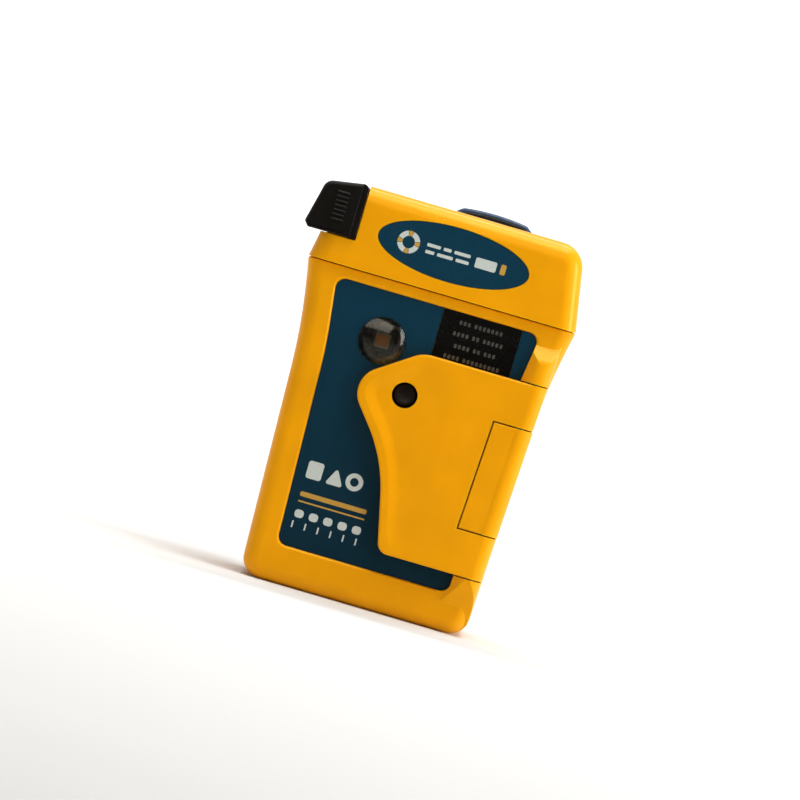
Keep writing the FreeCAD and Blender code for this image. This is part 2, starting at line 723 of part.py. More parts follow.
def antenna_tab():
    """The pull tab: a thick cap over the corner post, flared at its foot."""
    face = rounded([
        (TAB_RIGHT, TAB_LOW, 0.4),
        (TAB_RIGHT, TAB_TOP, 1.0),
        (-26.25, TAB_TOP - 1.35, 2.0),
        (-26.8, 71.5, 3.0),
        (-28.1, TAB_LOW + 0.9, 0.5),
        (-27.3, TAB_LOW - 0.1, 0.6),
    ])
    body = slab(face, TAB_FRONT, TAB_BACK)
    body = softened(body, 0.7, edges_at(body, TAB_FRONT) + edges_at(body, TAB_BACK))
    room = box(
        POST_LEFT - 0.1, 0, POST_FRONT - 0.1, POST_BACK + 0.1, 0, POST_TOP + 0.1
    )
    body = body.cut(room)
    half = TAPE_WIDE / 2 + 0.02
    slot = box(
        TAPE_X - TAPE_THICK / 2, TAPE_X + TAPE_THICK / 2, TAPE_Y - half, TAPE_Y + half, 70, TAPE_END
    )
    step = box(TAB_RIGHT - TAB_STEP_WIDE, 0, TAB_FRONT - 1, TAB_FRONT + TAB_STEP_DEEP, 60, 80)
    body = body.cut(slot).cut(tab_rivet()).cut(step)
    for i in range(7):
        z = 67.6 + i * 0.85
        for y in (TAB_FRONT, TAB_BACK):
            body = body.fuse(rod(0.22, V(-23.6, y, z), X, 2.2))
    return body.removeSplitter()


def antenna_tape():
    """The flat run of tape from the pull tab, round a bend, to the bottom of the coil."""
    centre_x = TAPE_X + TAPE_BEND
    centre_z = COIL_FOOT + TAPE_BEND
    half = TAPE_THICK / 2
    slant = math.sqrt(0.5)
    sides = []
    for r in (TAPE_BEND + half, TAPE_BEND - half):
        top = V(centre_x - r, 0, TAPE_END)
        turn = V(centre_x - r, 0, centre_z)
        middle = V(centre_x - r * slant, 0, centre_z - r * slant)
        foot = V(centre_x, 0, centre_z - r)
        end = V(WINDER_X, 0, centre_z - r)
        sides.append((top, turn, middle, foot, end))
    outer, inner = sides
    edges = [
        Part.makeLine(outer[0], outer[1]),
        Part.Arc(outer[1], outer[2], outer[3]).toShape(),
        Part.makeLine(outer[3], outer[4]),
        Part.makeLine(outer[4], inner[4]),
        Part.makeLine(inner[4], inner[3]),
        Part.Arc(inner[3], inner[2], inner[1]).toShape(),
        Part.makeLine(inner[1], inner[0]),
        Part.makeLine(inner[0], outer[0]),
    ]
    face = Part.Face(Part.Wire(edges))
    strip = slab(face, TAPE_Y - TAPE_WIDE / 2, TAPE_Y + TAPE_WIDE / 2)
    return strip.cut(disc(COIL_R, WINDER_X, WINDER_Z, 0, 20)).cut(tab_rivet())


def antenna_coil():
    """The tape wound on the spool, as one ring of its outer size."""
    return ring(COIL_R, HUB_R, WINDER_X, WINDER_Z, TAPE_Y - TAPE_WIDE / 2, TAPE_Y + TAPE_WIDE / 2)


def antenna_spool():
    """A hub between two thin flanges."""
    low, high = TAPE_Y - TAPE_WIDE / 2 - 0.1, TAPE_Y + TAPE_WIDE / 2 + 0.1
    solid = joined(
        disc(HUB_R, WINDER_X, WINDER_Z, low, high),
        disc(FLANGE_R, WINDER_X, WINDER_Z, low - 0.3, low),
        disc(FLANGE_R, WINDER_X, WINDER_Z, high, high + 0.3),
    )
    return solid.cut(disc(AXLE_R, WINDER_X, WINDER_Z, 0, 20))


def spool_axle():
    """The steel axle, with a head in front of the spool and a thread hole for the winder's screw."""
    shaft = disc(AXLE_R, WINDER_X, WINDER_Z, 5.2, 15.4)
    return shaft.cut(disc(0.7, WINDER_X, WINDER_Z, 11.5, 15.4))


def axle_bush():
    """The plain bearing in the rear wall."""
    return ring(AXLE_R + 0.9, AXLE_R + RUNNING, WINDER_X, WINDER_Z, 12.1, WELL_FLOOR)


def winder_blank(apothem, y0, y1):
    """An eight-sided wheel with slightly bulging sides and round corners."""
    blank = None
    for i in range(WINDER_SIDES):
        angle = 2 * math.pi / WINDER_SIDES * i
        away = SIDE_BULGE_R - apothem
        side = disc(SIDE_BULGE_R, WINDER_X - away * math.sin(angle), WINDER_Z - away * math.cos(angle), y0, y1)
        blank = side if blank is None else blank.common(side)
    corners = [e for e in blank.Edges if abs(e.tangentAt(e.FirstParameter).y) > 0.9]
    return softened(blank, 1.6, corners)


def winder_wheel():
    """The wheel that rewinds the tape: dished front and back, with a finger dimple near its edge."""
    wheel = winder_blank(WINDER_APOTHEM, WINDER_FRONT, WINDER_BACK)
    rims = edges_at(wheel, WINDER_FRONT) + edges_at(wheel, WINDER_BACK)
    wheel = wheel.makeChamfer(0.35, rims)
    wheel = wheel.cut(winder_blank(WINDER_APOTHEM - 0.8, WINDER_FRONT - 1, WINDER_FRONT + 0.5))
    dish = ring(12.4, 4.6, WINDER_X, WINDER_Z, WINDER_BACK - 1.5, WINDER_BACK + 1)
    wheel = wheel.cut(dish)
    for i in range(WINDER_SIDES):
        angle = 2 * math.pi / WINDER_SIDES * (i + 0.5)
        spoke = box(-0.6, 0.6, WINDER_BACK - 1.6, WINDER_BACK - 0.3, 4.0, 13.0)
        spoke.rotate(V(0, 0, 0), Y, math.degrees(angle))
        spoke.translate(V(WINDER_X, 0, WINDER_Z))
        wheel = wheel.fuse(spoke)
    dimple_at = V(WINDER_X - 8.6, WINDER_BACK + 1.6, WINDER_Z)
    pad = disc(3.6, dimple_at.x, dimple_at.z, WINDER_BACK - 1.6, WINDER_BACK)
    wheel = wheel.fuse(pad).cut(Part.makeSphere(3.4, dimple_at))
    wheel = wheel.fuse(disc(3.2, WINDER_X, WINDER_Z, WINDER_FRONT, WINDER_BACK - 0.6))
    wheel = wheel.cut(disc(AXLE_R, WINDER_X, WINDER_Z, 0, 15.4))
    wheel = wheel.cut(disc(0.9, WINDER_X, WINDER_Z, 0, 30))
    return wheel.cut(disc(1.75, WINDER_X, WINDER_Z, WINDER_BACK - 1.3, 30)).removeSplitter()


def winder_screw():
    head = disc(1.65, WINDER_X, WINDER_Z, WINDER_BACK - 1.3, WINDER_BACK - 0.3)
    shank = disc(0.69, WINDER_X, WINDER_Z, 12.0, WINDER_BACK - 1.3)
    return joined(head, shank).cut(cross_slot(WINDER_X, WINDER_Z, WINDER_BACK - 0.3, 0.85))


def cross_slot(x, z, y_head, half):
    """A cross recess in a screw's head."""
    one = box(x - half, x + half, y_head - 0.6, y_head + 1, z - 0.16, z + 0.16)
    two = box(x - 0.16, x + 0.16, y_head - 0.6, y_head + 1, z - half, z + half)
    return one.fuse(two)


def tape_guide():
    """A curved wall that turns the tape from the post towards the spool."""
    centre_x = TAPE_X + TAPE_BEND
    centre_z = COIL_FOOT + TAPE_BEND
    near = TAPE_BEND + TAPE_THICK / 2 + 0.15
    curve = ring(near + 0.8, near, centre_x, centre_z, 5.2, 11.9)
    quarter = box(centre_x - 20, centre_x, 0, 20, centre_z - 20, centre_z)
    wall = curve.common(quarter)
    upright = box(centre_x - near - 0.8, centre_x - near, 5.2, 11.9, centre_z, 69.8)
    return joined(wall, upright)


def exit_wiper():
    """The rubber lip that wipes the tape as it comes out."""
    block = box(-21.1, -19.2, 5.0, 11.2, 70.6, POST_TOP - 1.2)
    half = TAPE_WIDE / 2 + 0.02
    gap = TAPE_THICK / 2 + 0.02
    return block.cut(box(TAPE_X - gap, TAPE_X + gap, TAPE_Y - half, TAPE_Y + half, 60, 80))


def tab_rivet():
    """The rivet that holds the tape's end in the pull tab."""
    return rod(0.45, V(TAPE_X - 1.0, TAPE_Y, TAPE_END - 0.75), X, 2.0)


def contact_spring():
    """The bent strip that presses on the axle's end and takes the signal from it."""
    foot = box(WINDER_X - 1.2, WINDER_X + 1.2, 4.92, 5.06, 55.0, 60.4)
    arm = box(WINDER_X - 1.2, WINDER_X + 1.2, 5.06, 5.2, 60.4, 62.6)
    return joined(foot, arm, box(WINDER_X - 1.2, WINDER_X + 1.2, 4.92, 5.2, 60.2, 60.5))


# ---- electronics --------------------------------------------------------------------------------


def main_board():
    outline = rounded(mirrored([(18.0, 4.0, 2.0), (19.0, 40.0, 0), (20.6, 57.0, 1.0)]))
    board = slab(outline, BOARD_FRONT, BOARD_BACK)
    for x, z in BOARD_SCREWS:
        board = board.cut(disc(1.1, x, z, -20, 20))
    return board


def board_screws():
    made = []
    for x, z in BOARD_SCREWS:
        shank = disc(0.95, x, z, BOARD_FRONT - 4.6, BOARD_BACK)
        head = disc(1.8, x, z, BOARD_BACK, BOARD_BACK + 1.1)
        made.append(joined(shank, head).cut(cross_slot(x, z, BOARD_BACK + 1.1, 1.0)))
    return Part.makeCompound(made)


def board_posts():
    """Posts between the front wall and the board, with pilot holes for its screws."""
    made = []
    for x, z in BOARD_SCREWS:
        made.append(ring(2.0, 0.95, x, z, FRONT_INSIDE, BOARD_FRONT))
    return Part.makeCompound(made)


def gps_antenna():
    """A square ceramic patch with its metal face."""
    ceramic = box(2.6, 13.6, BOARD_FRONT - 4.0, BOARD_FRONT, 45.2, 56.2)
    patch = box(4.0, 12.2, BOARD_FRONT - 4.15, BOARD_FRONT - 4.0, 46.6, 54.8)
    return ceramic.fuse(patch).removeSplitter()


def shield_can(x0, x1, y0, y1, z0, z1):
    can = box(x0, x1, y0, y1, z0, z1)
    upright = [e for e in can.Edges if abs(e.tangentAt(0).y) > 0.9]
    return softened(can, 0.5, upright)


def radio_shield():
    return shield_can(-16.5, -7.5, BOARD_FRONT - 2.6, BOARD_FRONT, 14.0, 32.0)


def amplifier_shield():
    return shield_can(-15.2, -4.0, BOARD_BACK, BOARD_BACK + 3.2, 45.4, 51.4)


def controller_chip():
    return box(-4.5, 1.5, BOARD_FRONT - 1.2, BOARD_FRONT, 12.0, 18.0)


def clock_crystal():
    return box(-3.6, 0.0, BOARD_FRONT - 1.6, BOARD_FRONT, 30.0, 33.4)


def receiver_chip():
    return box(6.0, 11.0, BOARD_BACK, BOARD_BACK + 0.9, 46.0, 51.0)


def matching_coils():
    """Three small inductors on the way to the antenna."""
    made = []
    for i in range(3):
        made.append(ring(0.9, 0.5, -1.0 + i * 2.4, 54.6, BOARD_BACK + 0.1, BOARD_BACK + 2.4))
    return Part.makeCompound(made)


def cells():
    """Two lithium cells side by side, the second one upside down."""
    made = []
    for side in (-1, 1):
        x = side * CELL_X
        can = rod(CELL_R, V(x, CELL_Y, CELL_LOW), Z, CELL_LONG)
        tip_z = CELL_LOW + CELL_LONG if side < 0 else CELL_LOW - 0.8
        made.append(joined(can, rod(2.6, V(x, CELL_Y, tip_z), Z, 0.8)))
    return made


def cell_holder():
    """The tray between the board and the cells: a plate with two hollow beds and two end walls."""
    low, high = CELL_LOW - 1.2, CELL_LOW + CELL_LONG + 1.2
    tray = box(-17.2, 17.2, -2.6, 4.0, low - 0.9, high + 0.9)
    tray = tray.cut(box(-30, 30, -30, 30, low, high).cut(box(-30, 30, -2.6, 2.0, low, high)))
    for side in (-1, 1):
        tray = tray.cut(rod(CELL_R + 0.05, V(side * CELL_X, CELL_Y, low), Z, high - low))
    return tray.cut([disc(POST_R + 0.2, x, z, -20, 20) for x, z in CASE_SCREWS])


def cell_contacts():
    """Nickel strips: one joins the cells at the top, two take the current away at the bottom."""
    high = CELL_LOW + CELL_LONG + 0.82
    low = CELL_LOW - 0.82
    bridge = box(-11.5, 11.5, 2.0, 10.0, high, high + 0.3)
    left = box(-12.0, -5.0, 2.0, 10.0, low - 0.3, low)
    right = box(5.0, 12.0, 2.0, 10.0, low - 0.3, low)
    return Part.makeCompound([bridge, left, right])


def cell_pad():
    """A foam strip that stops the cells rattling."""
    return box(-2.4, 2.4, 12.6, REAR_INSIDE, 14.0, 36.0)


def cell_connector():
    return box(-2.6, 2.6, BOARD_BACK, BOARD_BACK + 2.6, 4.2, 6.4)


def wire(points, radius):
    """A round wire on straight runs joined by arcs."""
    edges = []
    last = points[0]
    for i in range(1, len(points) - 1):
        reach = 0.45 * min(points[i].distanceToPoint(points[i - 1]), points[i].distanceToPoint(points[i + 1]))
        a = (points[i - 1] - points[i]).normalize()
        b = (points[i + 1] - points[i]).normalize()
        half = a.getAngle(b) / 2
        bend = reach * math.tan(half)
        start, end = points[i] + a * reach, points[i] + b * reach
        middle = points[i] + (a + b).normalize() * (bend / math.sin(half) - bend)
        edges.append(Part.makeLine(last, start))
        edges.append(Part.Arc(start, middle, end).toShape())
        last = end
    edges.append(Part.makeLine(last, points[-1]))
    path = Part.Wire(edges)
    section = Part.Wire(Part.makeCircle(radius, points[0], points[1] - points[0]))
    return path.makePipeShell([section], True, True)


def cell_leads():
    """The two insulated wires from under the cell holder to their socket on the board."""
    made = []
    for side in (-1, 1):
        made.append(wire([
            V(side * 8.0, 3.0, CELL_LOW - 2.1),
            V(side * 8.0, 3.0, 4.6),
            V(side * 4.5, 1.6, 3.6),
            V(side * 1.4, 1.0, 5.3),
            V(side * 1.4, BOARD_BACK + 2.6, 5.3),
        ], 0.5))
    return Part.makeCompound(made)


def antenna_lead():
    """The short wire from the contact spring down through the deck to the board."""
    return wire([
        V(10.0, BOARD_BACK, 56.0),
        V(10.0, BOARD_BACK + 4.0, 56.0),
        V(10.0, BOARD_BACK + 6.0, 54.5),
        V(10.0, 3.0, 54.5),
    ], 0.5)


# ---- fasteners and lanyard ----------------------------------------------------------------------


def shell_screws(places, seat):
    """Pan-head screws that pull a front shell onto the rear one."""
    made = []
    for x, z in places:
        head = disc(HEAD_R, x, z, seat, seat + HEAD_TALL)
        shank = disc(SHANK_R, x, z, SOCKET_FRONT + 1.4, seat)
        made.append(joined(head, shank).cut(cross_slot(x, z, seat + HEAD_TALL, 1.1)))
    return Part.makeCompound(made)


def lanyard_pocket():
    """The pocket in the back, at the bottom, that the lanyard bar crosses."""
    return box(LANYARD_X - 4.5, LANYARD_X + 4.5, REAR - 3.8, 30, LANYARD_Z - 2.4, LANYARD_Z + 2.4)


def lanyard_bar():
    return rod(1.0, V(LANYARD_X - 4.5, REAR - 1.3, LANYARD_Z), X, 9.0)


# ---- the whole beacon ---------------------------------------------------------------------------

os.makedirs("parts", exist_ok=True)
left_cell, right_cell = cells()
pieces = {
    "front_case": front_case(),
    "rear_case": rear_case(),
    "top_cap": top_cap(),
    "case_gasket": case_gasket(),
    "cap_seal": cap_seal(),
    "front_label": front_label(),
    "oval_label": oval_label(),
    "rear_label": rear_label(),
    "gps_window": gps_window(),
    "flap": flap(),
    "hinge_block": hinge_block(),
    "hinge_pin": hinge_pin(),
    "flap_spring": flap_spring(),
    "on_key": on_key(),
    "test_key": test_key(),
    "key_seal": key_seal(),
    "key_switches": key_switches(),
    "strobe_lens": strobe_lens(),
    "lens_seal": lens_seal(),
    "strobe_reflector": strobe_reflector(),
    "strobe_led": strobe_led(),
    "antenna_tab": antenna_tab(),
    "tab_rivet": tab_rivet(),
    "antenna_tape": antenna_tape(),
    "antenna_coil": antenna_coil(),
    "antenna_spool": antenna_spool(),
    "spool_axle": spool_axle(),
    "axle_bush": axle_bush(),
    "winder_wheel": winder_wheel(),
    "winder_screw": winder_screw(),
    "tape_guide": tape_guide(),
    "exit_wiper": exit_wiper(),
    "contact_spring": contact_spring(),
    "main_board": main_board(),
    "board_screws": board_screws(),
    "board_posts": board_posts(),
    "gps_antenna": gps_antenna(),
    "radio_shield": radio_shield(),
    "amplifier_shield": amplifier_shield(),
    "controller_chip": controller_chip(),
    "clock_crystal": clock_crystal(),
    "receiver_chip": receiver_chip(),
    "matching_coils": matching_coils(),
    "cell_left": left_cell,
    "cell_right": right_cell,
    "cell_holder": cell_holder(),
    "cell_contacts": cell_contacts(),
    "cell_pad": cell_pad(),
    "cell_connector": cell_connector(),
    "cell_leads": cell_leads(),
    "antenna_lead": antenna_lead(),
    "case_screws": shell_screws(CASE_SCREWS, CASE_SEAT),
    "cap_screws": shell_screws(CAP_SCREWS, CAP_SEAT),
    "lanyard_bar": lanyard_bar(),
}
for name, shape in pieces.items():
    write(name, shape)
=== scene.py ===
import bmesh
import bpy
import json
import math
from mathutils import Matrix, Vector

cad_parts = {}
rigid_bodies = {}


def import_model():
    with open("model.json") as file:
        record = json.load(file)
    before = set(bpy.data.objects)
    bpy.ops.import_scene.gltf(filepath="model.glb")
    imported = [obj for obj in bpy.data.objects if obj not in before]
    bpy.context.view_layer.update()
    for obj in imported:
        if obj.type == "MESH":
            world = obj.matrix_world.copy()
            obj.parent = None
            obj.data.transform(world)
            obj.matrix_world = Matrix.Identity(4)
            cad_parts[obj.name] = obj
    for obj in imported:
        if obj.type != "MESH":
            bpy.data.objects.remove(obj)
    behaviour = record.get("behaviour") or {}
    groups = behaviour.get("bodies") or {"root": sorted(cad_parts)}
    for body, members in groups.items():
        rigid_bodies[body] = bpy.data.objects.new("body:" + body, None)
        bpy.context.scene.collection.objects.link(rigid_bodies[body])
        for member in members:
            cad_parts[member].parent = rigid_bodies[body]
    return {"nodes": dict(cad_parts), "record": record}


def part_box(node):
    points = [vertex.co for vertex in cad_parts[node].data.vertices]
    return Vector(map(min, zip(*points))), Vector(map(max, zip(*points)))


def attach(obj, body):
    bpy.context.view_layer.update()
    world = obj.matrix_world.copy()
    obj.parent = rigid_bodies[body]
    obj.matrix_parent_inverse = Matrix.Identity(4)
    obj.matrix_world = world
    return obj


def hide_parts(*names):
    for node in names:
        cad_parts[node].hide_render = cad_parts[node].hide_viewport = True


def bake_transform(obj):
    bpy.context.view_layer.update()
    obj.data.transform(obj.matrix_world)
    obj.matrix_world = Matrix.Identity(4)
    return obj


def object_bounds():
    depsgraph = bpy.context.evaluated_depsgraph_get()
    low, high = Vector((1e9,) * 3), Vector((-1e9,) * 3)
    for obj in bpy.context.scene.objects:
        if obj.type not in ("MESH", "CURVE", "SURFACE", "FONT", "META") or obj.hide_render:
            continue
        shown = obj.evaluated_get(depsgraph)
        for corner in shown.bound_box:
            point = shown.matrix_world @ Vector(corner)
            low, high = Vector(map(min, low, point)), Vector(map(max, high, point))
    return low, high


for leftover in list(bpy.data.objects):
    bpy.data.objects.remove(leftover)

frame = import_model()
cad_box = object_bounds()
nodes = frame["nodes"]

MM = 0.001

# ---- shader helpers -----------------------------------------------------------------------------


class Paint:
    """One material's node tree, with its coordinates in millimetres."""

    def __init__(self, name):
        self.material = bpy.data.materials.new(name)
        self.material.use_nodes = True
        self.tree = self.material.node_tree
        self.shader = self.tree.nodes["Principled BSDF"]
        coordinates = self.node("ShaderNodeTexCoord")
        scaled = self.node("ShaderNodeVectorMath", operation="SCALE")
        scaled.inputs["Scale"].default_value = 1 / MM
        self.join(coordinates.outputs["Object"], scaled.inputs[0])
        self.place = scaled.outputs[0]

    def node(self, kind, **settings):
        made = self.tree.nodes.new(kind)
        for key, value in settings.items():
            setattr(made, key, value)
        return made

    def join(self, a, b):
        self.tree.links.new(a, b)

    def stretched(self, x, y, z):
        """The coordinates, squeezed along each axis."""
        made = self.node("ShaderNodeVectorMath", operation="MULTIPLY")
        made.inputs[1].default_value = (x, y, z)
        self.join(self.place, made.inputs[0])
        return made.outputs[0]

    def noise(self, scale, detail=3.0, rough=0.5, at=None):
        made = self.node("ShaderNodeTexNoise")
        made.inputs["Scale"].default_value = scale
        made.inputs["Detail"].default_value = detail
        made.inputs["Roughness"].default_value = rough
        self.join(at or self.place, made.inputs["Vector"])
        return made.outputs["Fac"]

    def spread(self, value, low, high, to_low=0.0, to_high=1.0):
        """A value mapped from one range to another, held at its ends."""
        made = self.node("ShaderNodeMapRange")
        made.inputs["From Min"].default_value = low
        made.inputs["From Max"].default_value = high
        made.inputs["To Min"].default_value = to_low
        made.inputs["To Max"].default_value = to_high
        self.join(value, made.inputs["Value"])
        return made.outputs["Result"]

    def sum(self, a, b, operation="ADD"):
        made = self.node("ShaderNodeMath", operation=operation)
        for value, socket in ((a, made.inputs[0]), (b, made.inputs[1])):
            if isinstance(value, float):
                socket.default_value = value
            else:
                self.join(value, socket)
        return made.outputs[0]

    def mix(self, share, first, second):
        """Two colours mixed. Each is a colour or a socket."""
        made = self.node("ShaderNodeMix", data_type="RGBA")
        self.join(share, made.inputs["Factor"])
        for value, socket in ((first, made.inputs[6]), (second, made.inputs[7])):
            if isinstance(value, tuple):
                socket.default_value = (*value, 1.0)
            else:
                self.join(value, socket)
        return made.outputs[2]

    def edges(self, radius):
        """1 on edges, 0 on flats: how far the rounded normal leans from the true one."""
        soft = self.node("ShaderNodeBevel", samples=4)
        soft.inputs["Radius"].default_value = radius * MM
        true = self.node("ShaderNodeNewGeometry")
        dot = self.node("ShaderNodeVectorMath", operation="DOT_PRODUCT")
        self.join(soft.outputs[0], dot.inputs[0])
        self.join(true.outputs["Normal"], dot.inputs[1])
        return self.spread(dot.outputs["Value"], 0.99, 0.9)

    def bump(self, height, depth, softening=0.0):
        """A bump of a given depth in millimetres, over edges softened by a radius."""
        made = self.node("ShaderNodeBump")
        made.inputs["Strength"].default_value = 1.0
        made.inputs["Distance"].default_value = depth * MM
        self.join(height, made.inputs["Height"])
        if softening:
            soft = self.node("ShaderNodeBevel", samples=4)
            soft.inputs["Radius"].default_value = softening * MM
            self.join(soft.outputs[0], made.inputs["Normal"])
        self.join(made.outputs["Normal"], self.shader.inputs["Normal"])

    def colour(self, socket):
        self.join(socket, self.shader.inputs["Base Color"])

    def roughness(self, socket):
        self.join(socket, self.shader.inputs["Roughness"])

    def fixed(self, **values):
        """Plain values on the shader's own sockets."""
        for key, value in values.items():
            self.shader.inputs[key.replace("_", " ")].default_value = value


def shade(colour, factor):
    return tuple(min(1.0, c * factor) for c in colour)


def moulded(name, colour, rough, grain=0.0012, edge_wear_and_highlight=None, softening=0.12, gloss=0.4, dust=0.15,
            glint=(1.0, 1.0, 1.0)):
    """A moulded plastic: faint flow lines, fine grain, small scuffs, and paler edges that are partly wear
    and partly a painted highlight.
    """
    p = Paint(name)
    broad = p.spread(p.noise(0.09, 2.0), 0.3, 0.7)
    flow = p.spread(p.noise(0.35, 3.0, 0.6, p.stretched(1.0, 1.0, 0.18)), 0.35, 0.65)
    base = p.mix(broad, shade(colour, 0.95), shade(colour, 1.05))
    base = p.mix(p.sum(flow, 0.10, "MULTIPLY"), base, shade(colour, 1.22))
    specks = p.spread(p.noise(6.0, 1.0), 0.70, 0.78)
    base = p.mix(p.sum(specks, dust, "MULTIPLY"), base, shade(colour, 0.6))
    scuffs = p.spread(p.noise(1.3, 4.0, 0.65, p.stretched(1.0, 1.0, 3.0)), 0.60, 0.75)
    # Paler edges: partly wear and partly a painted highlight, where edges catch the light.
    if edge_wear_and_highlight:
        edge_wear_and_highlight_mask = p.sum(p.edges(0.3), p.spread(p.noise(0.9, 3.0), 0.38, 0.62, 0.5, 1.0), "MULTIPLY")
        base = p.mix(p.sum(edge_wear_and_highlight_mask, 0.8, "MULTIPLY"), base, edge_wear_and_highlight)
    p.colour(base)
    uneven = p.spread(p.noise(0.5, 3.0), 0.3, 0.7, rough - 0.04, rough + 0.04)
    p.roughness(p.sum(uneven, p.sum(scuffs, 0.04, "MULTIPLY")))
    height = p.sum(p.noise(9.0, 2.0), p.sum(scuffs, 0.12, "MULTIPLY"))
    p.bump(height, grain, softening)
    p.fixed(Specular_IOR_Level=gloss, Specular_Tint=(*glint, 1.0))
    return p.material


def sheet(name, top, low, rough, full_shade_below_z, no_shade_above_z, speck=0.5, gloss=0.2):
    """A printed label: its ink a little uneven, with painted shade that darkens it towards the bottom, and a
    fine orange peel.
    """
    p = Paint(name)
    split = p.node("ShaderNodeSeparateXYZ")
    p.join(p.place, split.inputs[0])
    # Painted shade: the top colour darkens into the low colour towards the bottom.
    rise = p.spread(split.outputs["Z"], full_shade_below_z, no_shade_above_z)
    base = p.mix(rise, low, top)
    grain = p.spread(p.noise(5.0, 2.0, 0.7), 0.42, 0.72)
    base = p.mix(p.sum(grain, speck, "MULTIPLY"), base, shade(top, 1.7))
    p.colour(base)
    p.roughness(p.spread(p.noise(0.6, 3.0), 0.3, 0.7, rough - 0.05, rough + 0.06))
    p.bump(p.noise(3.0, 2.0), 0.0012)
    p.fixed(Specular_IOR_Level=gloss)
    return p.material


def ink(name, colour, rough=0.5):
    """Screen-printed ink: slightly uneven cover."""
    p = Paint(name)
    cover = p.spread(p.noise(4.0, 3.0, 0.7), 0.3, 0.7)
    p.colour(p.mix(cover, shade(colour, 0.86), colour))
    p.roughness(p.spread(p.noise(2.0, 2.0), 0.3, 0.7, rough - 0.06, rough + 0.06))
    p.bump(p.noise(12.0, 2.0), 0.003)
    return p.material


def metal(name, colour, rough, brushed=(1.0, 1.0, 1.0)):
    """A metal with fine brushing and a few duller patches."""
    p = Paint(name)
    patch = p.spread(p.noise(0.7, 3.0), 0.35, 0.65)
    lines = p.noise(3.0, 3.0, 0.6, p.stretched(*brushed))
    p.colour(p.mix(patch, shade(colour, 0.82), colour))
    p.roughness(p.sum(p.spread(lines, 0.3, 0.7, rough - 0.06, rough + 0.08), p.sum(patch, 0.05, "MULTIPLY")))
    p.bump(lines, 0.003, 0.08)
    p.fixed(Metallic=1.0)
    return p.material


def clear(name, cavity_shade_tint):
    """Clear moulded polycarbonate with faint surface haze, tinted so that what lies behind looks darker:
    painted shade.
    """
    p = Paint(name)
    haze = p.spread(p.noise(0.8, 3.0), 0.35, 0.75, 0.09, 0.13)
    p.roughness(haze)
    # The tint darkens the lamp cavity seen through the lens: painted shade.
    p.colour(p.mix(p.spread(p.noise(0.4, 2.0), 0.3, 0.7), cavity_shade_tint, shade(cavity_shade_tint, 1.15)))
    p.bump(p.noise(0.9, 2.0), 0.0012)
    p.fixed(Transmission_Weight=1.0, IOR=1.49)
    return p.material


def board(name):
    """Green solder mask over copper traces, with tinned pads."""
    p = Paint(name)
    grid = p.node("ShaderNodeTexBrick")
    grid.inputs["Scale"].default_value = 0.55
    grid.inputs["Mortar Size"].default_value = 0.03
    split = p.node("ShaderNodeSeparateXYZ")
    p.join(p.place, split.inputs[0])
    flat = p.node("ShaderNodeCombineXYZ")
    p.join(split.outputs["X"], flat.inputs["X"])
    p.join(split.outputs["Z"], flat.inputs["Y"])
    p.join(flat.outputs[0], grid.inputs["Vector"])
    base = p.mix(grid.outputs["Fac"], (0.004, 0.055, 0.020), (0.012, 0.120, 0.045))
    pads = p.node("ShaderNodeTexVoronoi")
    pads.inputs["Scale"].default_value = 0.45
    p.join(flat.outputs[0], pads.inputs["Vector"])
    dots = p.spread(pads.outputs["Distance"], 0.20, 0.16)
    p.colour(p.mix(dots, base, (0.55, 0.52, 0.42)))
    p.roughness(p.spread(p.noise(1.0, 2.0), 0.3, 0.7, 0.3, 0.42))
    p.bump(grid.outputs["Fac"], 0.01)
    return p.material


YELLOW = (0.88, 0.355, 0.0008)
# Paler yellow for the shell's edges: partly wear and partly a painted highlight.
WEAR_AND_HIGHLIGHT_YELLOW = (0.97, 0.66, 0.010)
GOLDEN = (1.0, 0.84, 0.20)
NAVY = (0.0012, 0.0345, 0.0660)
# Darker navy towards the label's bottom: painted shade.
NAVY_PAINTED_SHADE = (0.0012, 0.0200, 0.0350)
PALE_INK = (0.60, 0.66, 0.62)
GOLD_INK = (0.60, 0.33, 0.035)

